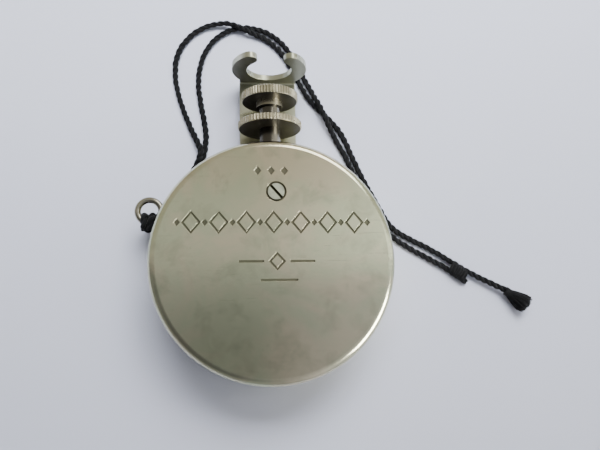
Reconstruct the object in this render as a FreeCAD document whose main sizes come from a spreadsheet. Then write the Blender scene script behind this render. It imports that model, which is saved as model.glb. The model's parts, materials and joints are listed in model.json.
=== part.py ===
import FreeCAD, Part
import math
import os
import re
import Sketcher
from FreeCAD import Placement, Rotation, Vector

# Clockwork self-timer for a cable release, in millimetres. Origin: centre of the case's front face,
# which rests on the table. +Z goes up to the push-on back cover, +Y to the fork, +X to the right.

SIZES = {
    # case
    "case_radius": 20.0, "case_height": 13.5, "wall": 0.8, "front_thick": 0.8, "front_round": 0.7,
    "seam_height": 9.5, "seam_gap": 0.05, "spigot_thick": 0.5, "spigot_top": 12.0,
    "cover_round": 1.3, "dome_rise": 0.3,
    # cover screw and the post that it goes into
    "screw_across": 0.5, "screw_place": 11.0, "screw_head_radius": 1.35, "screw_recess_radius": 1.7,
    "screw_recess_deep": 0.35, "screw_slot": 0.45, "screw_slot_floor": 0.3, "screw_slot_turn": -49.0,
    "screw_shank": 0.7, "screw_long": 2.2, "post_radius": 1.8,
    # engraved border on the cover
    "engraved_deep": 0.13, "engraved_stroke": 0.34,
    # plates
    "main_low": 2.3, "plate_thick": 0.8, "plate_radius": 18.2, "top_low": 10.3, "top_edge": 8.6,
    "top_radius": 15.5, "pillar_radius": 1.1, "pillar_reach": 13.6, "small_head": 0.95,
    "small_head_thick": 0.5, "small_stem": 0.5, "small_hole": 0.55, "small_slot": 0.25,
    "pillar_screw_long": 2.0, "case_screw_long": 2.2, "pillar_hole_deep": 1.5,
    "spacer_radius": 1.4, "spacer_reach": 16.6,
    # stud, knurled discs
    "stud_height": 7.4, "stud_radius": 1.8, "stud_inner": 15.4, "stud_end": 30.3, "nut_across": 6.4,
    "nut_thick": 1.5, "nut_seat": 0.9, "lock_radius": 5.6, "lock_thick": 1.2, "lock_place": 23.7,
    "thrust_radius": 5.0, "thrust_thick": 1.5, "thrust_place": 28.75, "disc_clearance": 0.03,
    "knurl_deep": 0.14, "hub_radius": 2.35, "hub_long": 1.1, "disc_bevel": 0.18,
    # fork bracket
    "fork_place": 34.9, "fork_thick": 1.0, "fork_hole": 4.05, "fork_outer": 6.65, "fork_tip_turn": 42.5,
    "strap_half": 5.2, "strap_play": 0.15, "strap_low": 1.0, "strap_thick": 0.8, "strap_inner": -12.4,
    "bend_inner": 0.4,
    "rack_root": -2.0, "rack_end": 4.6, "slot_half": 0.8, "slot_place": 1.3, "travel": 8.985,
    "guide_near": -0.6, "guide_far": 12.0, "guide_radius": 0.75, "guide_head": 1.3,
    "guide_head_thick": 0.3, "guide_play": 0.05,
    # lanyard eye
    "eye_turn": 156.0, "eye_reach": 22.54, "eye_height": 6.25, "eye_radius": 1.97, "eye_wire": 0.53,
    "eye_shank": 0.4, "eye_inner": 17.4, "eye_nut_place": 17.8, "eye_nut_radius": 1.2, "eye_nut_thick": 0.8,
    # going train
    "rack_module": 0.5, "train_module": 0.28, "first_x": -5.6, "first_y": 0.0,
    "second_x": 0.835, "second_y": -5.4, "escape_x": 6.835, "escape_y": -1.795,
    "anchor_x": 7.87, "anchor_y": 2.687, "first_radius": 1.0, "arbor_radius": 0.5, "pivot_radius": 0.3,
    "running": 0.04, "bush_radius": 1.8, "barrel_radius": 7.2, "barrel_wall": 0.4, "barrel_top": 6.0,
    "spring_thick": 0.16, "spring_low": 3.75, "spring_tall": 2.0, "lug_reach": 8.2, "lug_radius": 1.3,
    "lug_thick": 0.5, "cap_thick": 0.35, "barrel_play": 0.3, "barrel_screw_long": 1.2,
    "great_low": 6.6, "great_thick": 0.6, "ratchet_low": 7.25, "second_low": 8.3, "escape_low": 5.2,
    "anchor_low": 6.0, "wheel_thick": 0.5, "second_leaves_low": 6.4, "second_leaves_tall": 1.0,
    "escape_leaves_low": 8.1, "escape_leaves_tall": 0.9, "ratchet_root": 2.2, "ratchet_tip": 2.6,
    "escape_root": 2.4, "escape_tip": 3.2, "bob_radius": 3.6, "bob_low": 3.5, "bob_thick": 1.2,
    "bob_window": 0.8, "bob_window_reach": 2.0,
    # click
    "click_reach": 4.3, "click_turn": -48.0, "click_stem": 0.35, "click_head": 0.7, "click_play": 0.04,
    "click_boss": 0.8,
    # cord
    "cord_radius": 0.49,
}
RACK_PINION_TEETH = 12
GREAT_TEETH = 50
PINION_LEAVES = 10
SECOND_TEETH = 40
ESCAPE_TEETH = 15
RATCHET_TEETH = 20
KNURLS = 60
SPRING_COILS = 8
Z_AXIS = Vector(0, 0, 1)
ALONG_Y = Rotation(Vector(1, 0, 0), -90)

doc = FreeCAD.newDocument("self_timer")
sheet = doc.addObject("Spreadsheet::Sheet", "sizes")
for row, (alias, number) in enumerate(SIZES.items(), start=1):
    sheet.set(f"A{row}", alias)
    sheet.set(f"B{row}", str(number))
    sheet.setAlias(f"B{row}", alias)
doc.recompute()
nodes = []


def size(alias):
    """A driving dimension's value, read back from the sheet."""
    return float(sheet.get(alias))


def bound(text):
    """An expression in which each word of the sheet is written as sizes.word."""
    return re.sub(r"[a-z_]+", lambda m: f"sizes.{m[0]}" if m[0] in SIZES else m[0], text)


def bind(item, **expressions):
    """Binds properties of an object to the sheet. Base_x stands for Placement.Base.x."""
    for name, text in expressions.items():
        item.setExpression(name.replace("Base_", "Placement.Base."), bound(text))


def node(item, label):
    """Names a sub-part. Its label is its file's name."""
    item.Label = label
    nodes.append(item)
    return item


def shaped(label, shape, at=Vector(), turn=Rotation()):
    """A sub-part whose shape Part's own functions make."""
    item = doc.addObject("Part::Feature", label)
    item.Shape = shape
    item.Placement = Placement(at, turn)
    return node(item, label)


def cylinder(name, radius, height, x="0", y="0", z="0", turn=Rotation()):
    item = doc.addObject("Part::Cylinder", name)
    item.Placement = Placement(Vector(), turn)
    bind(item, Radius=radius, Height=height, Base_x=x, Base_y=y, Base_z=z)
    return item


def box(name, length, width, height, x, y, z):
    item = doc.addObject("Part::Box", name)
    bind(item, Length=length, Width=width, Height=height, Base_x=x, Base_y=y, Base_z=z)
    return item


def fuse(name, *shapes):
    item = doc.addObject("Part::MultiFuse", name)
    item.Shapes = list(shapes)
    return item


def cut(name, base, *tools):
    item = doc.addObject("Part::Cut", name)
    item.Base = base
    item.Tool = tools[0] if len(tools) == 1 else fuse(f"{name}_tools", *tools)
    return item


def group(name, solids):
    """Separate solids, such as a set of equal screws, kept as one sub-part."""
    item = doc.addObject("Part::Compound", name)
    item.Links = list(solids)
    return item


def origin_plane(body, role):
    return next(f for f in body.Origin.OriginFeatures if f.Role == role)


def attached_sketch(body, name, role, offset="0"):
    sketch = body.newObject("Sketcher::SketchObject", name)
    sketch.AttachmentSupport = [(origin_plane(body, role), "")]
    sketch.MapMode = "FlatFace"
    sketch.setExpression("AttachmentOffset.Base.z", bound(offset))
    return sketch


def tie(sketch, kind, where, text):
    """A driving constraint bound to the sheet."""
    index = sketch.addConstraint(Sketcher.Constraint(kind, *where, 1.0))
    sketch.setExpression(f"Constraints[{index}]", bound(text))


def outline(sketch, corners):
    """A closed outline of straight lines. Each corner is a pair of expressions."""
    count = len(corners)
    turns = [2 * math.pi * i / count for i in range(count)]
    loose = [Vector(30 * math.cos(t), 30 * math.sin(t), 0) for t in turns]
    for i in range(count):
        sketch.addGeometry(Part.LineSegment(loose[i], loose[(i + 1) % count]))
    for i in range(count):
        sketch.addConstraint(Sketcher.Constraint("Coincident", i, 2, (i + 1) % count, 1))
    for i, (across, up) in enumerate(corners):
        tie(sketch, "DistanceX", (-1, 1, i, 1), across)
        tie(sketch, "DistanceY", (-1, 1, i, 1), up)


def ring(sketch, radius, across="0", up="0"):
    """A circle whose centre and radius are bound to the sheet."""
    index = sketch.addGeometry(Part.Circle(Vector(1, 1, 0), Z_AXIS, 1.0))
    tie(sketch, "Radius", (index,), radius)
    tie(sketch, "DistanceX", (-1, 1, index, 3), across)
    tie(sketch, "DistanceY", (-1, 1, index, 3), up)


def turned(label, corners):
    """A body turned about Z from an outline in the XZ plane, each corner (radius, height)."""
    body = doc.addObject("PartDesign::Body", label)
    sketch = attached_sketch(body, f"{label}_profile", "XZ_Plane")
    outline(sketch, corners)
    turn = body.newObject("PartDesign::Revolution", f"{label}_turn")
    turn.Profile = sketch
    turn.ReferenceAxis = (sketch, ["V_Axis"])
    turn.Angle = 360
    doc.recompute()
    return body


def padded(label, low, thick, radius):
    """A round plate as a body, padded up from the height low."""
    body = doc.addObject("PartDesign::Body", label)
    sketch = attached_sketch(body, f"{label}_outline", "XY_Plane", low)
    ring(sketch, radius)
    pad = body.newObject("PartDesign::Pad", f"{label}_pad")
    pad.Profile = sketch
    bind(pad, Length=thick)
    doc.recompute()
    return body


def pocketed(body, name, low, deep, circles):
    """Cuts round holes (radius, x, y) upwards from the height low, and checks that they cut."""
    before = body.Shape.Volume
    sketch = attached_sketch(body, f"{name}_outline", "XY_Plane", low)
    for radius, across, up in circles:
        ring(sketch, radius, across, up)
    pocket = body.newObject("PartDesign::Pocket", name)
    pocket.Profile = sketch
    pocket.Reversed = True
    bind(pocket, Length=deep)
    doc.recompute()
    if body.Shape.Volume > before - 1e-3:
        raise RuntimeError(f"{name} cut nothing")


def rounded_edge(body, name, radius, at_radius, at_height):
    """Rounds a body's circular edge that has this radius and height."""
    for index, edge in enumerate(body.Shape.Edges, start=1):
        circle = edge.Curve
        if not isinstance(circle, Part.Circle):
            continue
        if abs(circle.Radius - at_radius) < 1e-4 and abs(circle.Center.z - at_height) < 1e-4:
            base = body.Tip
            fillet = body.newObject("PartDesign::Fillet", name)
            fillet.Base = (base, [f"Edge{index}"])
            bind(fillet, Radius=radius)
            doc.recompute()
            return
    raise RuntimeError(f"{name} found no edge")


def polar(radius, degrees, centre=Vector()):
    turn = math.radians(degrees)
    return centre + Vector(radius * math.cos(turn), radius * math.sin(turn), 0)


def arc(start, through, end):
    return Part.Arc(start, through, end).toShape()


def line(start, end):
    return Part.LineSegment(start, end).toShape()


def raised(edges, low, tall):
    """A closed outline at z = 0, lifted to the height low and padded by tall."""
    face = Part.Face(Part.Wire(Part.__sortEdges__(edges)))
    face.translate(Vector(0, 0, low))
    return face.extrude(Vector(0, 0, tall))


def disc(radius, low, tall, x=0.0, y=0.0):
    return Part.makeCylinder(radius, tall, Vector(x, y, low))


# ---------------------------------------------------------------- case

# Seat of the cover screw's head: as deep as the recess below the dome there.
SCREW_SEAT = "case_height - screw_recess_deep - dome_rise * screw_place^2 / case_radius^2"
# Heights up the cover of the engraved border's rows, and the border's step.
CREST_UP, BORDER_UP, MIDDLE_UP, FOOT_UP = 14.5, 5.85, -0.5, -3.5
BORDER_STEP = 4.4


def eye_bar(name, reach, long):
    """A round bar that points at the eye, from the distance reach out."""
    turn = Rotation(Z_AXIS, size("eye_turn") - 90).multiply(ALONG_Y)
    return cylinder(name, "eye_shank", long, f"({reach}) * cos(eye_turn)", f"({reach}) * sin(eye_turn)",
                    "eye_height", turn)


def case_shell():
    """Front cup with a spigot for the push-on cover, holes for the stud and eye and a strap slot."""
    inner = "case_radius - wall"
    body = turned("case_cup", [
        ("0", "0"), ("case_radius", "0"), ("case_radius", "seam_height"),
        (f"{inner} - seam_gap", "seam_height"), (f"{inner} - seam_gap", "spigot_top"),
        (f"{inner} - spigot_thick", "spigot_top"), (f"{inner} - spigot_thick", "front_thick"),
        ("0", "front_thick"),
    ])
    rounded_edge(body, "case_front_round", "front_round", size("case_radius"), 0)
    stud_hole = cylinder("case_stud_hole", "stud_radius", "6", y="case_radius - 5", z="stud_height",
                         turn=ALONG_Y)
    strap_slot = box("case_strap_slot", "(strap_half + strap_play) * 2", "8",
                     "strap_thick + strap_play * 1.6", "-strap_half - strap_play", "case_radius - 6",
                     "strap_low - strap_play * 0.6")
    eye_hole = eye_bar("case_eye_hole", "eye_inner", "4")
    node(cut("case_shell_cut", body, stud_hole, strap_slot, eye_hole), "case_shell")


def top_rim(shape):
    """Number of the highest edge that goes the whole way round a shape."""
    wide = shape.BoundBox.XLength - 0.01
    rims = [i for i, e in enumerate(shape.Edges, start=1) if e.BoundBox.XLength > wide]
    return max(rims, key=lambda i: shape.Edges[i - 1].BoundBox.ZMin)


def lozenge(across, up, half_wide, half_tall):
    corners = [Vector(across - half_wide, up, 0), Vector(across, up - half_tall, 0),
               Vector(across + half_wide, up, 0), Vector(across, up + half_tall, 0)]
    return Part.Face(Part.makePolygon(corners + corners[:1]))


def open_lozenge(across, up, half_wide, half_tall):
    """A lozenge drawn with one stroke round it."""
    stroke = size("engraved_stroke") * math.sqrt(2)
    return lozenge(across, up, half_wide, half_tall).cut(
        lozenge(across, up, half_wide - stroke, half_tall - stroke))


def rule(across, up, wide):
    stroke = size("engraved_stroke")
    return Part.makePlane(wide, stroke, Vector(across - wide / 2, up - stroke / 2, 0))


def engraving():
    """Tool that sinks a border of lozenges and rules to one depth below the domed face."""
    faces = [open_lozenge(BORDER_STEP * i, BORDER_UP, 1.6, 1.9) for i in range(-3, 4)]
    faces += [lozenge(BORDER_STEP * (i + 0.5), BORDER_UP, 0.5, 0.6) for i in range(-4, 4)]
    faces += [lozenge(2.2 * i - 0.3, CREST_UP, 0.6, 0.75) for i in (-1, 0, 1)]
    faces += [open_lozenge(0.5, MIDDLE_UP, 1.4, 1.5), rule(4.6, MIDDLE_UP, 4.0), rule(-3.6, MIDDLE_UP, 4.0)]
    faces.append(rule(0.8, FOOT_UP, 6.0))
    tools = []
    for face in faces:
        at = face.BoundBox.Center
        drop = size("dome_rise") * (at.x ** 2 + at.y ** 2) / size("case_radius") ** 2
        face.translate(Vector(0, 0, size("case_height") - drop - size("engraved_deep")))
        tools.append(face.extrude(Vector(0, 0, 1)))
    tool = doc.addObject("Part::Feature", "cover_engraving")
    tool.Shape = Part.makeCompound(tools)
    return tool


def back_cover():
    """Push-on cover: domed face with a rounded rim, a sunk seat for the screw and an engraved border."""
    blank = cylinder("cover_blank", "case_radius", "case_height - seam_height - seam_gap",
                     z="seam_height + seam_gap")
    dome = doc.addObject("Part::Sphere", "cover_dome")
    bind(dome, Radius="(case_radius^2 / dome_rise + dome_rise) / 2",
         Base_z="case_height - (case_radius^2 / dome_rise + dome_rise) / 2")
    domed = doc.addObject("Part::Common", "cover_domed")
    domed.Base, domed.Tool = blank, dome
    doc.recompute()
    rounded = doc.addObject("Part::Fillet", "cover_rounded")
    rounded.Base = domed
    rounded.Edges = [(top_rim(domed.Shape), size("cover_round"), size("cover_round"))]
    doc.recompute()
    hollow = cylinder("cover_hollow", "case_radius - wall", "case_height - wall - dome_rise - seam_height",
                      z="seam_height")
    recess = cylinder("cover_recess", "screw_recess_radius", "2", "screw_across", "screw_place", SCREW_SEAT)
    hole = cylinder("cover_hole", "screw_shank + 0.1", "4", "screw_across", "screw_place",
                    "case_height - 3")
    node(cut("back_cover_cut", rounded, hollow, recess, hole, engraving()), "back_cover")


def cover_screw():
    """Slotted cheese-head screw in the cover's seat."""
    head = cylinder("screw_head", "screw_head_radius", "screw_recess_deep + 0.05", "screw_across",
                    "screw_place", SCREW_SEAT)
    shank = cylinder("screw_stem", "screw_shank", "screw_long", "screw_across", "screw_place",
                     f"{SCREW_SEAT} - screw_long")
    slot = box("screw_slot_cut", "6", "screw_slot", "2", "0", "screw_place",
               "case_height - screw_slot_floor")
    slot.Placement.Rotation = Rotation(Z_AXIS, size("screw_slot_turn"))
    bind(slot, Base_x="screw_across - 3 * cos(screw_slot_turn) + screw_slot / 2 * sin(screw_slot_turn)",
         Base_y="screw_place - 3 * sin(screw_slot_turn) - screw_slot / 2 * cos(screw_slot_turn)")
    node(cut("cover_screw_cut", fuse("screw_blank", head, shank), slot), "cover_screw")


def cover_post():
    """Tapped post on the main plate that the cover screw pulls on."""
    low = "main_low + plate_thick"
    post = cylinder("post_rod", "post_radius", f"case_height - dome_rise - wall - 0.05 - ({low})",
                    "screw_across", "screw_place", low)
    hole = cylinder("post_hole", "screw_shank", "3", "screw_across", "screw_place", "case_height - 3.5")
    node(cut("cover_post_cut", post, hole), "cover_post")


def lanyard_eye():
    """Wire eye on a shank through the side wall, with its nut inside."""
    loop = doc.addObject("Part::Torus", "eye_loop")
    bind(loop, Radius1="eye_radius", Radius2="eye_wire", Base_x="eye_reach * cos(eye_turn)",
         Base_y="eye_reach * sin(eye_turn)", Base_z="eye_height")
    shank = eye_bar("eye_stem", "eye_inner", "eye_reach - eye_radius - 0.1 - eye_inner")
    node(fuse("lanyard_eye_body", loop, shank), "lanyard_eye")
    nut = eye_bar("eye_nut_blank", "eye_nut_place", "eye_nut_thick")
    bind(nut, Radius="eye_nut_radius")
    bore = eye_bar("eye_nut_bore", "eye_inner", "4")
    node(cut("eye_nut_cut", nut, bore), "eye_nut")


# ---------------------------------------------------------------- plates

PILLAR_TURNS = (-150, -95, -22, 26)
SPACER_TURNS = (40, 128, 205, 270, 335)


def around(turns, reach):
    """Places (x, y) on a circle, as expressions."""
    return [(f"{reach} * cos({turn})", f"{reach} * sin({turn})") for turn in turns]


def arbor_places():
    return [("second_x", "second_y"), ("escape_x", "escape_y"), ("anchor_x", "anchor_y")]


def plates():
    """Main plate and top plate, bored for the arbors, bushes and fasteners."""
    pivot = "pivot_radius + running"
    main = padded("main_plate", "main_low", "plate_thick", "plate_radius")
    holes = [(pivot, x, y) for x, y in arbor_places()]
    holes.append(("bush_radius", "first_x", "first_y"))
    holes += [("small_hole", x, y) for x, y in around(PILLAR_TURNS, "pillar_reach")]
    holes += [("small_hole", x, y) for x, y in around(SPACER_TURNS, "spacer_reach")]
    holes += [("small_hole", x, y) for x, y in barrel_lugs()]
    pocketed(main, "main_holes", "main_low - 0.1", "plate_thick + 1", holes)
    node(main, "main_plate")
    top = padded("top_plate_round", "top_low", "plate_thick", "top_radius")
    holes = [(pivot, x, y) for x, y in arbor_places()]
    holes.append(("bush_radius", "first_x", "first_y"))
    holes += [("small_hole", x, y) for x, y in around(PILLAR_TURNS, "pillar_reach")]
    pocketed(top, "top_holes", "top_low - 0.1", "plate_thick + 1", holes)
    trim = box("top_plate_trim", "40", "20", "3", "-20", "top_edge", "top_low - 1")
    node(cut("top_plate_cut", top, trim), "top_plate")


def screw_set(label, places, under_head, long):
    """Equal screws with slotted heads, each with its stem down from under the head."""
    screws = []
    for i, (x, y) in enumerate(places):
        head = cylinder(f"{label}_head_{i}", "small_head", "small_head_thick", x, y, under_head)
        stem = cylinder(f"{label}_stem_{i}", "small_stem", long, x, y, f"{under_head} - {long}")
        slot = box(f"{label}_slot_{i}", "3", "small_slot", "1", f"{x} - 1.5", f"{y} - small_slot / 2",
                   f"{under_head} + small_head_thick / 2")
        screws.append(cut(f"{label}_{i}", fuse(f"{label}_blank_{i}", head, stem), slot))
    node(group(f"{label}_set", screws), label)


def plate_fasteners():
    """Pillars between the plates, spacers under the main plate, and all their screws."""
    pillars = [
        cylinder(f"pillar_{i}", "pillar_radius", "top_low - main_low - plate_thick", x, y,
                 "main_low + plate_thick")
        for i, (x, y) in enumerate(around(PILLAR_TURNS, "pillar_reach"))
    ]
    holes = [
        cylinder(f"pillar_hole_{i}", "small_stem", "pillar_hole_deep", x, y, "top_low - pillar_hole_deep")
        for i, (x, y) in enumerate(around(PILLAR_TURNS, "pillar_reach"))
    ]
    bored = [cut(f"pillar_bored_{i}", p, q) for i, (p, q) in enumerate(zip(pillars, holes))]
    node(group("pillar_group", bored), "plate_pillars")
    spacers = []
    for i, (x, y) in enumerate(around(SPACER_TURNS, "spacer_reach")):
        tube = cylinder(f"spacer_{i}", "spacer_radius", "main_low - front_thick", x, y, "front_thick")
        bore = cylinder(f"spacer_bore_{i}", "small_stem", "main_low - front_thick", x, y, "front_thick")
        spacers.append(cut(f"spacer_bored_{i}", tube, bore))
    node(group("spacer_group", spacers), "plate_spacers")
    screw_set("pillar_screws", around(PILLAR_TURNS, "pillar_reach"), "top_low + plate_thick",
              "pillar_screw_long")
    screw_set("case_screws", around(SPACER_TURNS, "spacer_reach"), "main_low + plate_thick",
              "case_screw_long")


def bearing_bushes():
    """Brass bushes of the first arbor, one in each plate."""
    rings = []
    for name, low in (("main", "main_low"), ("top", "top_low")):
        outer = cylinder(f"bush_{name}", "bush_radius", "plate_thick", "first_x", "first_y", low)
        inner = cylinder(f"bush_{name}_bore", "first_radius + running", "plate_thick", "first_x",
                         "first_y", low)
        rings.append(cut(f"bush_{name}_ring", outer, inner))
    node(group("bush_group", rings), "bearing_bushes")


def guide_studs():
    """Two shouldered studs in the front wall that guide and stop the strap."""
    studs = []
    for i, place in enumerate(("guide_near", "guide_far")):
        stem = cylinder(f"guide_stem_{i}", "guide_radius",
                        "strap_low + strap_thick + guide_play - front_thick", "slot_place", place,
                        "front_thick")
        head = cylinder(f"guide_head_{i}", "guide_head", "guide_head_thick", "slot_place", place,
                        "strap_low + strap_thick + guide_play")
        studs.append(fuse(f"guide_stud_{i}", stem, head))
    node(group("guide_group", studs), "guide_studs")


# ---------------------------------------------------------------- stud and discs


def thrust_stud():
    """Stud fixed in the wall at the fork's side, and the nut inside the case that holds it."""
    rod = cylinder("stud_rod", "stud_radius", "stud_end - stud_inner", y="stud_inner", z="stud_height",
                   turn=ALONG_Y)
    node(rod, "thrust_stud")
    prism = doc.addObject("Part::Prism", "stud_nut_blank")
    prism.Polygon = 6
    prism.Placement = Placement(Vector(), ALONG_Y)
    bind(prism, Circumradius="nut_across / 2 / cos(30)", Height="nut_thick",
         Base_y="case_radius - wall - spigot_thick - nut_seat - nut_thick", Base_z="stud_height")
    bore = cylinder("stud_nut_bore", "stud_radius", "8", y="stud_inner - 3", z="stud_height", turn=ALONG_Y)
    node(cut("stud_nut_cut", prism, bore), "stud_nut")


def knurled_face(radius, deep):
    """Outline of a straight-knurled disc: pointed ridges between flat-bottomed grooves."""
    pitch = 360 / KNURLS
    points = []
    for i in range(KNURLS):
        start = i * pitch
        points += [polar(radius - deep, start), polar(radius - deep, start + 0.22 * pitch)]
        points += [polar(radius, start + 0.5 * pitch), polar(radius, start + 0.72 * pitch)]
    return Part.Face(Part.makePolygon(points + points[:1]))


def knurled_disc(label, radius, thick, place, hub_side):
    """A thumb disc on the stud: bevelled, knurled rim and a plain hub on one side."""
    bevel = size("disc_bevel")
    blank = knurled_face(radius, size("knurl_deep")).extrude(Vector(0, 0, thick))
    straight = thick - 2 * bevel
    low_cone = Part.makeCone(radius - bevel, radius, bevel)
    high_cone = Part.makeCone(radius, radius - bevel, bevel, Vector(0, 0, bevel + straight))
    middle = Part.makeCylinder(radius, straight, Vector(0, 0, bevel))
    rim = low_cone.fuse([middle, high_cone])
    hub_low = thick if hub_side > 0 else -size("hub_long")
    hub = Part.makeCylinder(size("hub_radius"), size("hub_long"), Vector(0, 0, hub_low))
    bore = Part.makeCylinder(size("stud_radius") + size("disc_clearance"), 12, Vector(0, 0, -4))
    whole = blank.common(rim).fuse(hub).cut(bore)
    shaped(label, whole, Vector(0, place, size("stud_height")), ALONG_Y)


def thumb_discs():
    knurled_disc("lock_disc", size("lock_radius"), size("lock_thick"), size("lock_place"), 1)
    knurled_disc("thrust_disc", size("thrust_radius"), size("thrust_thick"), size("thrust_place"), -1)


# ---------------------------------------------------------------- fork bracket


def rack_teeth():
    """Rack cut along the strap's left edge, in mesh with the pinion at rest."""
    module = size("rack_module")
    pitch = math.pi * module
    pitch_line = size("first_x") + module * RACK_PINION_TEETH / 2
    root = size("rack_root")
    tip = pitch_line - 0.85 * module
    low, tall = size("strap_low"), size("strap_thick")
    teeth = []
    for i in range(-7, 3):
        middle = i * pitch
        if middle + 0.5 * pitch > size("rack_end"):
            continue
        corners = [
            Vector(root + 0.2, middle - 0.34 * pitch, low), Vector(root, middle - 0.34 * pitch, low),
            Vector(tip, middle - 0.10 * pitch, low), Vector(tip, middle + 0.10 * pitch, low),
            Vector(root, middle + 0.34 * pitch, low), Vector(root + 0.2, middle + 0.34 * pitch, low),
        ]
        face = Part.Face(Part.makePolygon(corners + corners[:1]))
        teeth.append(face.extrude(Vector(0, 0, tall)))
    return teeth


def fork_plate():
    """Upright C-shaped seat with round-ended prongs, narrowing to the strap's width below."""
    thick, outer, hole = size("fork_thick"), size("fork_outer"), size("fork_hole")
    centre_z = size("stud_height")
    foot = size("strap_low") + size("strap_thick") + size("bend_inner")
    y = size("fork_place")
    along = Vector(0, 1, 0)
    centre = Vector(0, y, centre_z)
    plate = Part.makeCylinder(outer, thick, centre, along)
    half = size("strap_half")
    plate = plate.cut(Part.makeBox(40, 10, 10, Vector(-20, y - 2, foot - 10)))
    plate = plate.fuse(Part.makeBox(2 * half, thick, centre_z - hole - 0.2 - foot, Vector(-half, y, foot)))
    plate = plate.cut(Part.makeCylinder(hole, thick + 2, centre - along, along))
    turn = math.radians(size("fork_tip_turn"))
    aside, above = 2 * outer * math.sin(turn), centre_z + 2 * outer * math.cos(turn)
    mouth = [Vector(0, y - 1, centre_z), Vector(-aside, y - 1, above), Vector(aside, y - 1, above)]
    plate = plate.cut(Part.Face(Part.makePolygon(mouth + mouth[:1])).extrude(Vector(0, thick + 2, 0)))
    band = (outer + hole) / 2
    for side in (-1, 1):
        tip = Vector(side * band * math.sin(turn), y, centre_z + band * math.cos(turn))
        plate = plate.fuse(Part.makeCylinder((outer - hole) / 2 - 0.01, thick, tip, along))
    return plate.removeSplitter()


def fork_bracket():
    """Fork, bend, strap with its rack and two guide slots, all pressed from one sheet."""
    low, tall = size("strap_low"), size("strap_thick")
    half, y = size("strap_half"), size("fork_place")
    inner = size("bend_inner")
    outer = inner + tall
    corner = Vector(-half, y + size("fork_thick") - outer, low + outer)
    elbow = Part.makeCylinder(outer, 2 * half, corner, Vector(1, 0, 0))
    elbow = elbow.cut(Part.makeCylinder(inner, 2 * half, corner, Vector(1, 0, 0)))
    keep = Part.makeBox(2 * half, outer, outer, corner - Vector(0, 0, outer))
    elbow = elbow.common(keep)
    wide = Part.makeBox(2 * half, corner.y - size("rack_end"), tall, Vector(-half, size("rack_end"), low))
    root, end = size("rack_root"), size("strap_inner")
    narrow = Part.makeBox(half - root, size("rack_end") - end, tall, Vector(root, end, low))
    strap = wide.fuse([narrow, *rack_teeth()])
    slot_half, travel = size("slot_half"), size("travel")
    for place in (size("guide_near"), size("guide_far")):
        first = place - travel
        x = size("slot_place")
        strap = strap.cut(Part.makeBox(2 * slot_half, travel, tall, Vector(x - slot_half, first, low)))
        for y_end in (first, place):
            strap = strap.cut(Part.makeCylinder(slot_half, tall, Vector(x, y_end, low)))
    riser = fork_plate()
    whole = strap.fuse([elbow, riser])
    shaped("fork_bracket", whole.removeSplitter())


# ---------------------------------------------------------------- going train

FIRST_TURN = -40.0
SECOND_TURN = 31.0
ANCHOR_TURN = 77.0
# Height and depth of teeth in modules, and each tooth's share of the pitch.
WHEEL_TEETH = (0.95, 1.35, 0.46)
LEAVES = (0.6, 1.2, 0.36)
RACK_LEAVES = (0.7, 1.2, 0.40)


def arbor_centre(name):
    return Vector(size(f"{name}_x"), size(f"{name}_y"), 0)


def toothed_face(teeth, module, add, ded, share, turn):
    """Gear outline with radial flanks and pointed-arch tips. One tooth's middle is at the angle turn.

    add and ded are the tooth's height and depth in modules, share its part of the pitch."""
    pitch_radius = teeth * module / 2
    tip, root = pitch_radius + add * module, pitch_radius - ded * module
    shoulder = pitch_radius + 0.6 * add * module
    step = 360 / teeth
    half = share * step / 2
    edges = []
    for i in range(teeth):
        a = turn + i * step
        edges.append(line(polar(root, a - half), polar(pitch_radius, a - half)))
        edges.append(arc(polar(pitch_radius, a - half), polar(shoulder, a - 0.64 * half), polar(tip, a)))
        edges.append(arc(polar(tip, a), polar(shoulder, a + 0.64 * half), polar(pitch_radius, a + half)))
        edges.append(line(polar(pitch_radius, a + half), polar(root, a + half)))
        edges.append(arc(polar(root, a + half), polar(root, a + step / 2), polar(root, a + step - half)))
    return Part.Face(Part.Wire(edges))


def wheel(label, face, bore, low, tall, arbor, windows=()):
    """A toothed face padded up on an arbor, bored, and lightened by windows (radius, reach, turn)."""
    solid = face.extrude(Vector(0, 0, tall)).cut(disc(bore, -1, tall + 2))
    for radius, reach, turn in windows:
        at = polar(reach, turn)
        solid = solid.cut(disc(radius, -1, tall + 2, at.x, at.y))
    shaped(label, solid, arbor_centre(arbor) + Vector(0, 0, low))


def arbor(label, name, low, high):
    """A stepped arbor that runs in both plates."""
    body = cylinder(f"{label}_body", "arbor_radius", f"({high}) - ({low})", f"{name}_x", f"{name}_y", low)
    pivots = cylinder(f"{label}_pivots", "pivot_radius", "top_low + plate_thick - main_low - 0.1",
                      f"{name}_x", f"{name}_y", "main_low + 0.05")
    node(fuse(f"{label}_whole", body, pivots), label)


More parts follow.
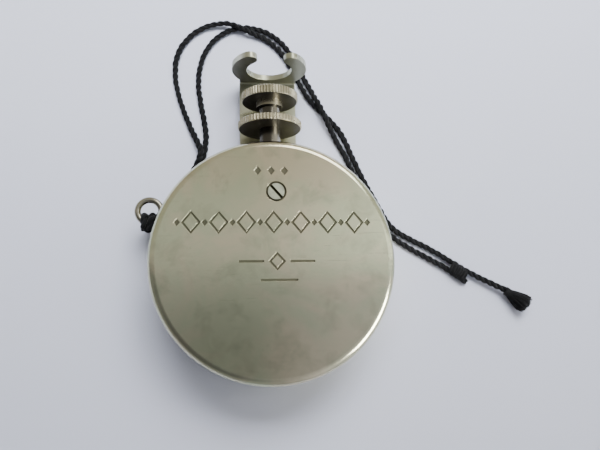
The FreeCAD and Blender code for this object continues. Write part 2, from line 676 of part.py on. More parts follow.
def first_wheel():
    """Rack pinion, ratchet and great wheel on the first arbor, with the click."""
    low = size("strap_low")
    shaft = cylinder("first_arbor_rod", "first_radius", "top_low + plate_thick + 0.1 - strap_low",
                     "first_x", "first_y", "strap_low")
    node(shaft, "first_arbor")
    bore = size("first_radius")
    pinion = toothed_face(RACK_PINION_TEETH, size("rack_module"), *RACK_LEAVES, 15.0)
    wheel("rack_pinion", pinion, bore, low, size("strap_thick"), "first")
    windows = [(1.25, 4.3, turn) for turn in (72, 132, 192, 252)]
    great = toothed_face(GREAT_TEETH, size("train_module"), *WHEEL_TEETH, FIRST_TURN)
    great_bore = bore + size("running")
    screw_at = polar(size("click_reach"), size("click_turn"))
    great = great.cut(Part.Face(Part.Wire(Part.makeCircle(size("click_stem"), screw_at))))
    wheel("great_wheel", great, great_bore, size("great_low"), size("great_thick"), "first", windows)
    step = 360 / RATCHET_TEETH
    steps = []
    for i in range(RATCHET_TEETH):
        steps += [polar(size("ratchet_root"), step * i), polar(size("ratchet_tip"), step * i + 0.8)]
    ratchet = Part.Face(Part.makePolygon(steps + steps[:1]))
    wheel("ratchet_wheel", ratchet, bore, size("ratchet_low"), size("wheel_thick"), "first")


def click_parts():
    """Click on the great wheel, its shouldered screw and its leaf spring."""
    centre = arbor_centre("first")
    pivot = polar(size("click_reach"), size("click_turn"))
    stem_radius, play, thick = size("click_stem"), size("click_play"), size("wheel_thick")
    great_low, low = size("great_low"), size("ratchet_low")
    beak = [polar(2.30, -1.2), polar(2.95, -1.2), pivot + Vector(0.65, 0.1, 0),
            pivot - Vector(0.65, 0.1, 0), polar(2.75, -8)]
    body = Part.Face(Part.makePolygon(beak + beak[:1])).extrude(Vector(0, 0, thick))
    body = body.fuse(disc(size("click_boss"), 0, thick, pivot.x, pivot.y))
    body = body.cut(disc(stem_radius + play, -1, 3, pivot.x, pivot.y))
    shaped("click", body, centre + Vector(0, 0, low))
    head_low = low + thick + play
    stem = disc(stem_radius, great_low, head_low - great_low, pivot.x, pivot.y)
    head = disc(size("click_head"), head_low, thick / 2, pivot.x, pivot.y)
    shaped("click_screw", stem.fuse(head), centre)
    stud_at = polar(5.3, 8)
    leaf = [polar(5.3, 5), polar(3.3, -13), polar(3.42, -14.5), polar(5.35, 3)]
    strip = Part.Face(Part.makePolygon(leaf + leaf[:1])).extrude(Vector(0, 0, 0.4))
    stud = disc(0.4, 0, 0.45, stud_at.x, stud_at.y)
    shaped("click_spring", strip.fuse(stud), centre + Vector(0, 0, low - 0.05))


def second_wheel():
    arbor("second_arbor", "second", "main_low + plate_thick + 0.1", "top_low - 0.1")
    bore, module = size("arbor_radius"), size("train_module")
    leaves = toothed_face(PINION_LEAVES, module, *LEAVES, FIRST_TURN + 180 + 180 / PINION_LEAVES)
    wheel("second_pinion", leaves, bore, size("second_leaves_low"), size("second_leaves_tall"), "second")
    windows = [(1.3, 3.2, SECOND_TURN + turn) for turn in (36, 108, 180, 252, 324)]
    teeth = toothed_face(SECOND_TEETH, module, *WHEEL_TEETH, SECOND_TURN)
    wheel("second_wheel", teeth, bore, size("second_low"), size("wheel_thick"), "second", windows)


def escape_teeth():
    """Fifteen pointed teeth, two of them the same angle each side of the line to the anchor."""
    step, root, tip = 360 / ESCAPE_TEETH, size("escape_root"), size("escape_tip")
    points = []
    for i in range(ESCAPE_TEETH):
        a = ANCHOR_TURN + i * step
        points += [polar(root, a - 9), polar(tip, a - 0.8), polar(tip, a + 0.8), polar(root, a + 9)]
    return Part.Face(Part.makePolygon(points + points[:1]))


def escape():
    """Escape wheel and its pinion."""
    arbor("escape_arbor", "escape", "main_low + plate_thick + 0.1", "top_low - 0.1")
    bore, module = size("arbor_radius"), size("train_module")
    leaves = toothed_face(PINION_LEAVES, module, *LEAVES, SECOND_TURN + 180 + 180 / PINION_LEAVES)
    wheel("escape_pinion", leaves, bore, size("escape_leaves_low"), size("escape_leaves_tall"), "escape")
    wheel("escape_wheel", escape_teeth(), bore, size("escape_low"), size("wheel_thick"), "escape",
          [(0.5, 1.45, ANCHOR_TURN + 90 * i) for i in range(4)])


def anchor_parts():
    """Two-armed anchor with pin pallets, and the inertia bob that slows it."""
    arbor("anchor_arbor", "anchor", "main_low + plate_thick + 0.1", "top_low - 0.1")
    escape_at, anchor_at = arbor_centre("escape"), arbor_centre("anchor")
    escape_low, anchor_low, thick = size("escape_low"), size("anchor_low"), size("wheel_thick")
    pins = [polar(3.45, ANCHOR_TURN + side * 42, escape_at) for side in (-1, 1)]
    body = disc(1.1, 0, thick, anchor_at.x, anchor_at.y)
    for pin in pins:
        along = (pin - anchor_at).normalize()
        across = Vector(-along.y, along.x, 0)
        corners = [anchor_at + across * 0.6, pin + across * 0.3, pin - across * 0.3,
                   anchor_at - across * 0.6]
        arm = Part.Face(Part.makePolygon(corners + corners[:1])).extrude(Vector(0, 0, thick))
        body = body.fuse([arm, disc(0.32, 0, thick, pin.x, pin.y)])
    body = body.cut(disc(size("arbor_radius"), -1, 3, anchor_at.x, anchor_at.y))
    shaped("anchor", body, Vector(0, 0, anchor_low))
    pallets = [disc(0.15, escape_low - 0.2, anchor_low - escape_low + 0.2, p.x, p.y) for p in pins]
    shaped("pallet_pins", Part.makeCompound(pallets))
    bob = cylinder("bob_disc", "bob_radius", "bob_thick", "anchor_x", "anchor_y", "bob_low")
    bore = cylinder("bob_bore", "arbor_radius", "bob_thick", "anchor_x", "anchor_y", "bob_low")
    windows = [
        cylinder(f"bob_window_{i}", "bob_window", "bob_thick",
                 f"anchor_x + bob_window_reach * cos({120 * i})",
                 f"anchor_y + bob_window_reach * sin({120 * i})", "bob_low")
        for i in range(3)
    ]
    node(cut("inertia_bob_cut", bob, bore, *windows), "inertia_bob")


# ---------------------------------------------------------------- mainspring

BARREL_TURNS = (90, 180, 270)


def barrel_lugs():
    return [(f"first_x + lug_reach * cos({t})", f"first_y + lug_reach * sin({t})") for t in BARREL_TURNS]


def spring_barrel():
    """Fixed cup round the mainspring, with three screwed lugs, and its cap."""
    low = "main_low + plate_thick"
    cup = cylinder("barrel_cup", "barrel_radius", f"barrel_top - ({low})", "first_x", "first_y", low)
    lugs = [cylinder(f"barrel_lug_{i}", "lug_radius", "lug_thick", x, y, low)
            for i, (x, y) in enumerate(barrel_lugs())]
    hollow = cylinder("barrel_hollow", "barrel_radius - barrel_wall", "5", "first_x", "first_y",
                      f"{low} + barrel_wall")
    centre = cylinder("barrel_bore", "first_radius + barrel_play", "9", "first_x", "first_y", "main_low")
    holes = [cylinder(f"barrel_hole_{i}", "small_hole", "plate_thick + 0.1", x, y, "main_low + 0.6")
             for i, (x, y) in enumerate(barrel_lugs())]
    node(cut("spring_barrel_cut", fuse("barrel_blank", cup, *lugs), hollow, centre, *holes),
         "spring_barrel")
    cap = cylinder("barrel_lid", "barrel_radius", "cap_thick", "first_x", "first_y", "barrel_top")
    cap_bore = cylinder("barrel_lid_bore", "first_radius + barrel_play", "2", "first_x", "first_y",
                        "barrel_top - 1")
    node(cut("barrel_cap_cut", cap, cap_bore), "barrel_cap")
    screw_set("barrel_screws", barrel_lugs(), f"{low} + lug_thick", "barrel_screw_long")


def mainspring():
    """Flat spiral of half-circles whose centres alternate, so that each turn grows by one pitch."""
    first = size("first_radius") + 0.15
    last = size("barrel_radius") - size("barrel_wall") - 0.05
    pitch = (last - size("spring_thick") - first) / SPRING_COILS
    thick = size("spring_thick")
    walls = []
    for side in (0, thick):
        edges = []
        x_end = first + side
        for i in range(2 * SPRING_COILS):
            way = 1 if i % 2 == 0 else -1
            radius = first + side + i * pitch / 2
            centre = Vector(way * x_end - way * radius, 0, 0)
            turns = (0, 90, 180) if way > 0 else (180, 270, 360)
            edges.append(arc(*[polar(radius, t, centre) for t in turns]))
            x_end = 2 * radius - x_end
        walls.append(edges)
    inner, outer = walls
    ends = [line(inner[0].Vertexes[0].Point, outer[0].Vertexes[0].Point),
            line(inner[-1].Vertexes[-1].Point, outer[-1].Vertexes[-1].Point)]
    spiral = raised(inner + outer + ends, 0, size("spring_tall"))
    shaped("mainspring", spiral, arbor_centre("first") + Vector(0, 0, size("spring_low")))


# ---------------------------------------------------------------- cord

# Centre lines of the two free strands, from the hitch on the eye to their ends.
STRAND_A = [
    (-21.0, 6.4, 3.4), (-20.1, 7.6, 1.5), (-18.7, 9.3, 0.5), (-16.6, 12.7, 0.495), (-14.4, 15.3, 0.495),
    (-12.9, 18.0, 0.495), (-11.6, 21.5, 0.495), (-11.3, 25.4, 0.495), (-12.3, 30.3, 0.495),
    (-13.1, 35.6, 0.495), (-12.2, 41.0, 0.495), (-9.4, 45.1, 0.495), (-5.1, 47.2, 0.495),
    (-0.1, 46.5, 0.495), (3.8, 43.4, 0.495), (6.3, 38.3, 0.495), (8.6, 33.8, 0.75), (9.8, 31.1, 1.65),
    (10.7, 28.9, 1.7), (11.6, 26.9, 1.4), (13.0, 24.2, 0.55), (14.8, 20.9, 0.495), (16.0, 17.8, 0.495),
    (18.6, 12.9, 0.495), (20.6, 8.2, 0.495), (23.4, 5.1, 0.495), (29.2, 1.8, 0.51), (33.2, -0.4, 0.85),
    (36.4, -2.8, 0.8),
]
STRAND_B = [
    (-22.0, 6.6, 3.0), (-21.2, 8.0, 2.1), (-19.4, 9.6, 1.45), (-17.1, 12.9, 1.4), (-14.9, 15.7, 1.45),
    (-13.2, 18.5, 1.6), (-12.0, 21.6, 1.55), (-13.6, 24.8, 0.7), (-16.0, 30.6, 0.495),
    (-17.4, 36.2, 0.495), (-17.0, 41.7, 0.495), (-13.3, 46.3, 0.495), (-8.4, 47.8, 0.95),
    (-5.5, 46.7, 1.7), (-2.9, 45.7, 1.0), (0.5, 44.4, 0.495), (3.5, 41.3, 0.495), (5.7, 36.6, 0.495),
    (8.2, 31.9, 0.495), (11.5, 28.9, 0.495), (14.2, 25.6, 0.495), (15.8, 21.4, 0.495),
    (17.9, 16.6, 0.495), (20.3, 11.9, 0.495), (22.4, 7.7, 0.495), (25.3, 5.7, 0.495), (30.3, 3.3, 0.5),
    (35.4, -0.1, 0.9), (39.6, -2.5, 1.1), (44.0, -4.6, 1.4),
]


def bend_radius(before, corner, after):
    first, second = corner - before, after - corner
    half_turn = first.getAngle(second) / 2
    return 0.45 * min(first.Length, second.Length) / math.tan(half_turn), half_turn


def cord_path(route):
    """Straight runs joined by tangent arcs, each as large as its two runs allow."""
    points = [Vector(*p) for p in route]
    edges, start, radii = [], points[0], []
    for before, corner, after in zip(points, points[1:], points[2:]):
        radius, half_turn = bend_radius(before, corner, after)
        setback = radius * math.tan(half_turn)
        into = corner + (before - corner).normalize() * setback
        out = corner + (after - corner).normalize() * setback
        inward = ((before - corner).normalize() + (after - corner).normalize()).normalize()
        middle = corner + inward * (radius / math.cos(half_turn) - radius)
        edges += [line(start, into), arc(into, middle, out)]
        start = out
        radii.append(round(radius, 1))
    edges.append(line(start, points[-1]))
    return Part.Wire(edges), radii


def cord_strand(label, route):
    radius = size("cord_radius")
    path, radii = cord_path(route)
    section = Part.Wire(Part.makeCircle(radius, Vector(*route[0]), path.Edges[0].tangentAt(0)))
    tube = path.makePipeShell([section], True, True)
    expected = math.pi * radius ** 2 * path.Length
    print(f"{label}: length {path.Length:.1f} mm, volume {tube.Volume / expected:.4f} of section times")
    print(f"  length, bend radii {radii}, lowest {tube.optimalBoundingBox(False).ZMin:.3f}")
    shaped(label, tube)


def tapered(label, start, end, start_radius, end_radius):
    """A plain cone or round bar between two points."""
    start, end = Vector(*start), Vector(*end)
    along = end - start
    shaped(label, Part.makeCone(start_radius, end_radius, along.Length, start, along))


def cord():
    cord_strand("cord_strand_a", STRAND_A)
    cord_strand("cord_strand_b", STRAND_B)
    tapered("cord_hitch", (-20.3, 8.8, 6.9), (-21.3, 6.4, 3.1), 1.25, 0.95)
    tapered("cord_whipping", (33.9, -0.1, 1.1), (36.3, -1.9, 1.05), 1.1, 1.05)
    tapered("cord_tassel", (43.9, -4.8, 1.4), (47.6, -7.6, 1.85), 0.8, 1.8)


def make_all():
    case_shell()
    back_cover()
    cover_screw()
    cover_post()
    lanyard_eye()
    plates()
    plate_fasteners()
    bearing_bushes()
    guide_studs()
    thrust_stud()
    thumb_discs()
    fork_bracket()
    first_wheel()
    click_parts()
    second_wheel()
    escape()
    anchor_parts()
    spring_barrel()
    mainspring()
    cord()


def failed_objects():
    return [o.Label for o in doc.Objects if {"Invalid", "Error"} & set(o.State)]


def write_nodes():
    """Checks the whole document, then writes each sub-part to its own file."""
    doc.recompute()
    bad = failed_objects()
    bad += [o.Label for o in nodes if o.Shape.isNull() or not o.Shape.isValid()]
    if bad:
        raise RuntimeError(f"failed: {bad}")
    os.makedirs("parts", exist_ok=True)
    for item in nodes:
        item.Shape.exportStep(f"parts/{item.Label}.step")
        print(f"{item.Label}: {len(item.Shape.Solids)} solid(s), {item.Shape.Volume:.2f} mm3")


make_all()
write_nodes()
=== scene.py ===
import json
import math
import random

import bpy
from mathutils import Matrix, Vector

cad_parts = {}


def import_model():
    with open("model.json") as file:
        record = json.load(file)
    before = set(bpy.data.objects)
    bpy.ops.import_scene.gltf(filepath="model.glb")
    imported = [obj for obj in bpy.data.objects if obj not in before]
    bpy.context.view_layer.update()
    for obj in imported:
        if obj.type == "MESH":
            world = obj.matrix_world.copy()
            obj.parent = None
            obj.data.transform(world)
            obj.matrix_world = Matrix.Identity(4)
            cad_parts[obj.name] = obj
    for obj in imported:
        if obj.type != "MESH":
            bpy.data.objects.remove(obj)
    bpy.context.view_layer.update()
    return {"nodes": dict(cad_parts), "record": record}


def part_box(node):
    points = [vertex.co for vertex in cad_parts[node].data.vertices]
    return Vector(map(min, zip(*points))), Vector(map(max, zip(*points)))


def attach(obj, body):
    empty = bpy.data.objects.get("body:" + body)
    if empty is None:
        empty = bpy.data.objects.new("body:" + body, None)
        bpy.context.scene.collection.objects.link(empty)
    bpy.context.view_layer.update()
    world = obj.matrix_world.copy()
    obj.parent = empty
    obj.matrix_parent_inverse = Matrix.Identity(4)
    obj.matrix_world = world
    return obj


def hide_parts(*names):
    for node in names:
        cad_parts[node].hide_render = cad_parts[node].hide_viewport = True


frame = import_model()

MM = 0.001
SEED = 7
CASE_RADIUS, CASE_TOP, DOME_RISE = 20 * MM, 13.5 * MM, 0.3 * MM
SLOT_LOW, SLOT_TOP = 13.1 * MM, 13.3 * MM

# ---------------------------------------------------------------- camera

FOCAL_OVER_WIDTH = 1.0267
SENSOR_MM = 36.0
CAMERA_AT = Vector((-6.89, -13.98, 110.64)) * MM
CAMERA_RIGHT = Vector((0.9937, -0.0219, 0.1098))
CAMERA_UP = Vector((0.0001, 0.9807, 0.1954))


def make_camera():
    data = bpy.data.cameras.new("camera")
    data.sensor_width = SENSOR_MM
    data.lens = FOCAL_OVER_WIDTH * SENSOR_MM
    data.clip_start = 0.005
    data.clip_end = 20
    camera = bpy.data.objects.new("camera", data)
    bpy.context.scene.collection.objects.link(camera)
    right = CAMERA_RIGHT.normalized()
    back = right.cross(CAMERA_UP).normalized()
    up = back.cross(right)
    turn = Matrix((right, up, back)).transposed().to_4x4()
    camera.matrix_world = Matrix.Translation(CAMERA_AT) @ turn
    bpy.context.scene.camera = camera


def link(name, mesh):
    obj = bpy.data.objects.new(name, mesh)
    bpy.context.scene.collection.objects.link(obj)
    return obj


# ---------------------------------------------------------------- node helpers


class Nodes:
    """Short calls for building the node tree of a material or a world."""

    def __init__(self, name, owners=bpy.data.materials, shader="Principled BSDF"):
        self.material = owners.new(name)
        self.material.use_nodes = True
        self.tree = self.material.node_tree
        self.shader = self.tree.nodes[shader]
        self.coordinates = self.add("ShaderNodeTexCoord").outputs
        self.place = self.coordinates["Object"]

    def add(self, kind, **values):
        item = self.tree.nodes.new(kind)
        for key, value in values.items():
            setattr(item, key, value)
        return item

    def wire(self, source, target):
        self.tree.links.new(source, target)

    def mapped(self, scale=(1, 1, 1), turn=(0, 0, 0), source=None):
        item = self.add("ShaderNodeMapping")
        self.wire(source or self.place, item.inputs["Vector"])
        item.inputs["Scale"].default_value = scale
        item.inputs["Rotation"].default_value = turn
        return item.outputs["Vector"]

    def noise(self, scale, detail=4, rough=0.55, source=None, warp=0.0):
        item = self.add("ShaderNodeTexNoise")
        self.wire(source or self.place, item.inputs["Vector"])
        item.inputs["Scale"].default_value = scale
        item.inputs["Detail"].default_value = detail
        item.inputs["Roughness"].default_value = rough
        item.inputs["Distortion"].default_value = warp
        return item.outputs["Fac"]

    def ramp(self, source, *stops):
        """A colour ramp through (position, value or colour) stops."""
        item = self.add("ShaderNodeValToRGB")
        self.wire(source, item.inputs["Fac"])
        points = item.color_ramp.elements
        while len(points) < len(stops):
            points.new(0.5)
        for point, (position, value) in zip(points, stops):
            point.position = position
            point.color = (*value, 1) if isinstance(value, tuple) else (value, value, value, 1)
        return item.outputs["Color"]

    def mix(self, factor, first, second, blend="MIX"):
        item = self.add("ShaderNodeMix", data_type="RGBA", blend_type=blend)
        for socket, value in zip((0, 6, 7), (factor, first, second)):
            target = item.inputs[socket]
            if isinstance(value, bpy.types.NodeSocket):
                self.wire(value, target)
            elif socket == 0:
                target.default_value = value
            else:
                target.default_value = (*value, 1)
        return item.outputs[2]

    def maths(self, operation, first, second=0.0, third=None):
        item = self.add("ShaderNodeMath", operation=operation)
        values = (first, second) if third is None else (first, second, third)
        for target, value in zip(item.inputs, values):
            if isinstance(value, bpy.types.NodeSocket):
                self.wire(value, target)
            else:
                target.default_value = value
        return item.outputs[0]

    def axis(self, name, source=None):
        item = self.add("ShaderNodeSeparateXYZ")
        self.wire(source or self.place, item.inputs[0])
        return item.outputs[name]

    def towards(self, direction, source):
        """Cosine of the angle between a vector and a fixed direction."""
        item = self.add("ShaderNodeVectorMath", operation="DOT_PRODUCT")
        self.wire(source, item.inputs[0])
        item.inputs[1].default_value = Vector(direction).normalized()
        return item.outputs["Value"]

    def facing(self, axis, low=0.7, high=0.9):
        """1 where the surface faces along an axis of its own object, either way."""
        share = self.maths("ABSOLUTE", self.axis(axis, self.coordinates["Normal"]))
        return self.ramp(share, (low, 0.0), (high, 1.0))

    def bump(self, height, distance, strength=1.0, base=None):
        item = self.add("ShaderNodeBump")
        item.inputs["Strength"].default_value = strength
        item.inputs["Distance"].default_value = distance
        self.wire(height, item.inputs["Height"])
        if base is not None:
            self.wire(base, item.inputs["Normal"])
        return item.outputs["Normal"]

    def soft_edge(self, radius):
        item = self.add("ShaderNodeBevel", samples=4)
        item.inputs["Radius"].default_value = radius
        return item.outputs["Normal"]

    def set(self, **values):
        for name, value in values.items():
            target = self.shader.inputs[name.replace("_", " ")]
            if isinstance(value, bpy.types.NodeSocket):
                self.wire(value, target)
            else:
                target.default_value = (*value, 1) if isinstance(value, tuple) else value


# ---------------------------------------------------------------- materials


def scratches(n, turn, fine, across, threshold):
    """Sparse thin straight marks along one direction, as a mask from 0 to 1."""
    stretched = n.mapped((fine, across, fine), (0, 0, math.radians(turn)))
    return n.ramp(n.noise(1.0, detail=2, rough=0.5, source=stretched), (threshold, 0.0),
                  (threshold + 0.02, 1.0))


def nickel(name, light, shade, rough, smudge=1.0, edge=0.08 * MM, dark_faces=None, fade=None,
           grooves=False, shaded_side_end=None):
    """Old nickel plate: warm grey, blotched, with faint hairlines and rubbed patches.

    light and shade are its two tones, smudge the strength of its stains, and edge the radius that
    its corners are worn to. dark_faces (axis, colour, amount) paints shade on the flat faces across
    that axis, the dark reflections they would show, mixed with some tarnish, and fade (low, high,
    share) thins that painted shade out along X to that share of its strength, so it is heaviest on
    the left. grooves darkens the engraving. shaded_side_end is where along X a painted shade over
    the stud's left side ends."""
    n = Nodes(name)
    broad = n.noise(70, detail=5, rough=0.6, warp=0.6)
    blotch = n.noise(240, detail=5, rough=0.6, warp=0.4)
    colour = n.mix(n.ramp(broad, (0.42, 0.0), (0.58, 1.0)), shade, light)
    stain = n.ramp(blotch, (0.5, 0.0), (0.70, 0.24 * smudge))
    colour = n.mix(stain, colour, tuple(0.62 * c for c in shade))
    marks = scratches(n, 24, 90, 5200, 0.70)
    more = scratches(n, -58, 70, 4300, 0.71)
    both = n.maths("MAXIMUM", marks, more)
    colour = n.mix(n.maths("MULTIPLY", both, 0.28), colour, tuple(0.5 * c for c in shade))
    pits = n.ramp(n.noise(1900, detail=3), (0.70, 0.0), (0.78, 1.0))
    colour = n.mix(n.maths("MULTIPLY", pits, 0.3), colour, (0.10, 0.09, 0.06))
    roughness = n.ramp(n.noise(160, detail=6, rough=0.7, warp=0.5), (0.3, rough * 0.94), (0.75, rough * 1.1))
    # painted shade with some tarnish: flat faces across the axis are darkened to the dark reflections they
    # would catch
    if dark_faces:
        axis, tarnish, amount = dark_faces
        cover = n.maths("MULTIPLY", n.facing(axis), n.ramp(broad, (0.2, amount), (0.8, 0.8 * amount)))
        # the painted shade is heavier on the left and thins out towards the lit right side
        if fade:
            low, high, share = fade
            along = n.maths("DIVIDE", n.maths("SUBTRACT", n.axis("X"), low), high - low)
            cover = n.maths("MULTIPLY", cover, n.ramp(along, (0.0, 1.0), (1.0, share)))
        colour = n.mix(cover, colour, tarnish)
        roughness = n.mix(cover, roughness, (0.5, 0.5, 0.5))
    # painted shade: left of this X, on the stud beyond the case wall, the colour goes near black like a
    # shaded side
    if shaded_side_end is not None:
        along = n.maths("MULTIPLY_ADD", n.axis("X"), 400.0, 0.5 - 400.0 * shaded_side_end)
        side_shade = n.ramp(along, (0.2, 0.85), (0.8, 0.0))
        side_shade = n.maths("MULTIPLY", side_shade, n.maths("GREATER_THAN", n.axis("Y"), 0.9 * CASE_RADIUS))
        colour = n.mix(side_shade, colour, (0.03, 0.026, 0.02))
    if grooves:
        depth = engraved_depth(n)
        colour = n.mix(depth, colour, (0.05, 0.048, 0.03))
        roughness = n.mix(depth, roughness, (0.7, 0.7, 0.7))
    height = n.maths("ADD", n.maths("MULTIPLY", both, -0.5), n.noise(2600, detail=2))
    normal = n.bump(height, 0.000004, 0.55, base=n.soft_edge(edge))
    n.set(Base_Color=colour, Metallic=1.0, Roughness=roughness, Normal=normal)
    return n.material


def engraved_depth(n):
    """1 in the border's grooves, where the surface lies below the cover's dome."""
    x, y, z = (n.axis(name) for name in "XYZ")
    reach = n.maths("ADD", n.maths("MULTIPLY", x, x), n.maths("MULTIPLY", y, y))
    dome = n.maths("MULTIPLY_ADD", reach, -DOME_RISE / CASE_RADIUS ** 2, CASE_TOP)
    below = n.maths("SUBTRACT", dome, z)
    sunk = n.maths("MULTIPLY", n.ramp(n.maths("MULTIPLY", below, 5000), (0.15, 0.0), (0.4, 0.85)),
                   n.maths("LESS_THAN", reach, (0.87 * CASE_RADIUS) ** 2))
    return n.maths("MULTIPLY", sunk, n.maths("GREATER_THAN", z, 0.96 * CASE_TOP))


def turned_steel(name, colour, rough):
    """Turned and polished steel with fine tool marks, and painted shade darkening the cover screw's slot."""
    n = Nodes(name)
    grime = n.ramp(n.noise(900, detail=5), (0.45, 0.0), (0.7, 0.6))
    shade = n.mix(grime, colour, tuple(0.6 * c for c in colour))
    height = n.axis("Z")
    # painted shade: between these heights the cover screw's slot is darkened to near black as its shaded
    # floor
    above, below = n.maths("GREATER_THAN", height, SLOT_LOW), n.maths("LESS_THAN", height, SLOT_TOP)
    slot = n.maths("MULTIPLY", above, below)
    shade = n.mix(slot, shade, (0.02, 0.018, 0.01))
    marks = n.noise(1.0, detail=2, source=n.mapped((400, 400, 14000)))
    roughness = n.ramp(marks, (0.3, rough * 0.8), (0.7, rough * 1.4))
    normal = n.bump(marks, 0.000003, 0.5, base=n.soft_edge(0.00005))
    n.set(Base_Color=shade, Metallic=1.0, Roughness=roughness, Normal=normal)
    return n.material


def brass(name, colour, rough):
    """Grained clock brass with faint tarnish."""
    n = Nodes(name)
    grain = n.noise(1.0, detail=3, source=n.mapped((220, 9000, 900), (0, 0, math.radians(35))))
    tarnish = n.ramp(n.noise(260, detail=6, warp=0.6), (0.42, 0.0), (0.75, 0.7))
    shade = n.mix(tarnish, colour, tuple(c * f for c, f in zip(colour, (0.62, 0.52, 0.42))))
    roughness = n.ramp(grain, (0.3, rough * 0.8), (0.7, rough * 1.5))
    normal = n.bump(grain, 0.000004, 0.5, base=n.soft_edge(0.00006))
    n.set(Base_Color=shade, Metallic=1.0, Roughness=roughness, Normal=normal)
    return n.material


def blued_steel(name):
    """Spring steel blued by heat, unevenly."""
    n = Nodes(name)
    shade = n.mix(n.ramp(n.noise(300, detail=4), (0.4, 0.0), (0.65, 1.0)), (0.05, 0.08, 0.22),
                  (0.13, 0.11, 0.24))
    n.set(Base_Color=shade, Metallic=1.0, Roughness=0.25,
          Normal=n.bump(n.noise(5000, detail=2), 0.000002, 0.4))
    return n.material


def black_thread(name):
    """Black cotton: fine fibres along the ply, slightly grey where they stand up."""
    n = Nodes(name)
    fibre = n.noise(9000, detail=4, rough=0.6)
    dust = n.ramp(n.noise(1500, detail=4), (0.56, 0.0), (0.78, 0.4))
    shade = n.mix(n.ramp(fibre, (0.4, 0.0), (0.7, 1.0)), (0.0028, 0.0029, 0.0033), (0.010, 0.0105, 0.012))
    shade = n.mix(dust, shade, (0.024, 0.025, 0.026))
    n.set(Base_Color=shade, Roughness=0.75, Specular_IOR_Level=0.12, Sheen_Weight=0.05, Sheen_Roughness=0.5,
          Normal=n.bump(fibre, 0.00006, 0.8))
    return n.material


def table_top(name):
    """Pale matt surface, nearly even."""
    n = Nodes(name)
    shade = n.mix(n.ramp(n.noise(14, detail=3), (0.35, 0.0), (0.65, 1.0)), (0.515, 0.537, 0.635),
                  (0.528, 0.55, 0.65))
    n.set(Base_Color=shade, Roughness=0.75, Normal=n.bump(n.noise(900, detail=3), 0.00002, 0.15))
    return n.material


MATERIALS = {
    "cover_nickel": (nickel, dict(light=(0.60, 0.545, 0.385), shade=(0.52, 0.54, 0.365), rough=0.17,
                                  smudge=1.7, grooves=True)),
    "case_nickel": (nickel, dict(light=(0.56, 0.53, 0.38), shade=(0.50, 0.50, 0.34), rough=0.2)),
    # fork: painted shade with some tarnish on its flat faces, heavier on the left
    "fork_nickel": (nickel, dict(light=(0.50, 0.50, 0.38), shade=(0.43, 0.44, 0.32), rough=0.28,
                                 edge=0.16 * MM, dark_faces=("Y", (0.10, 0.095, 0.08), 0.9),
                                 fade=(-0.005, 0.007, 0.45))),
    # disc: painted shade with some tarnish on its flat faces, heavier on the left
    "disc_nickel": (nickel, dict(light=(0.50, 0.46, 0.33), shade=(0.36, 0.34, 0.235), rough=0.27,
                                 edge=0.03 * MM, dark_faces=("Y", (0.028, 0.024, 0.018), 1.12),
                                 fade=(-0.001, 0.006, 0.8))),
    # stud: painted shade on its left side
    "stud_nickel": (nickel, dict(light=(0.36, 0.34, 0.27), shade=(0.24, 0.225, 0.17), rough=0.2,
                                 shaded_side_end=0.0007)),
    "screw_steel": (turned_steel, dict(colour=(0.54, 0.57, 0.43), rough=0.3)),
    "plate_brass": (brass, dict(colour=(0.66, 0.50, 0.22), rough=0.28)),
    "wheel_brass": (brass, dict(colour=(0.74, 0.56, 0.24), rough=0.22)),
    "arbor_steel": (turned_steel, dict(colour=(0.52, 0.52, 0.54), rough=0.2)),
    "spring_steel": (blued_steel, {}),
    "cord_black": (black_thread, {}),
}


def dress_nodes():
    """Gives every CAD node the procedural material of its slot."""
    made = {slot: make(slot, **looks) for slot, (make, looks) in MATERIALS.items()}
    slots = {part["node"]: part["material_slot"] for part in frame["record"]["subparts"]}
    for name, slot in slots.items():
        obj = frame["nodes"][name]
        for place in obj.material_slots:
            place.material = made[slot]
        if not obj.material_slots:
            obj.data.materials.append(made[slot])
    return made


# ---------------------------------------------------------------- cord

CORD = 0.98 * MM
PLY_OFFSET = 0.22 * MM
PLY_RADIUS = 0.35 * MM
TWIST_PITCH = 2.5 * MM
FLATTENED = 0.77  # where the cord lies on the table
YARN_SIDES = 9
WHIPPING_ENDS = (33.8, -0.05, 0.98), (36.25, -1.9, 0.98)
TASSEL_ROOT, TASSEL_TIP = (43.9, -4.8, 1.4), (47.7, -7.7, 1.8)
TASSEL_FIBRES = 420
FORK_PATH = 7.5 * MM, 26.0 * MM, 45.3 * MM  # half width, start and end of the fork's path over the cord
UNDER_FORK = 0.9 * MM
STRAND_A = [
    (-21.0, 6.4, 3.4), (-20.1, 7.6, 1.5), (-18.7, 9.3, 0.5), (-16.6, 12.7, 0.495), (-14.4, 15.3, 0.495),
    (-12.9, 18.0, 0.495), (-11.6, 21.5, 0.495), (-11.3, 25.4, 0.495), (-12.3, 30.3, 0.495),
    (-13.1, 35.6, 0.495), (-12.2, 41.0, 0.495), (-9.4, 45.1, 0.495), (-5.1, 47.2, 0.495),
    (-0.1, 46.5, 0.495), (3.8, 43.4, 0.495), (6.3, 38.3, 0.495), (8.6, 33.8, 0.75), (9.8, 31.1, 1.65),
    (10.7, 28.9, 1.7), (11.6, 26.9, 1.4), (13.0, 24.2, 0.55), (14.8, 20.9, 0.495), (16.0, 17.8, 0.495),
    (18.6, 12.9, 0.495), (20.6, 8.2, 0.495), (23.4, 5.1, 0.495), (29.2, 1.8, 0.51), (33.2, -0.4, 0.85),
    (36.4, -2.8, 0.8),
]
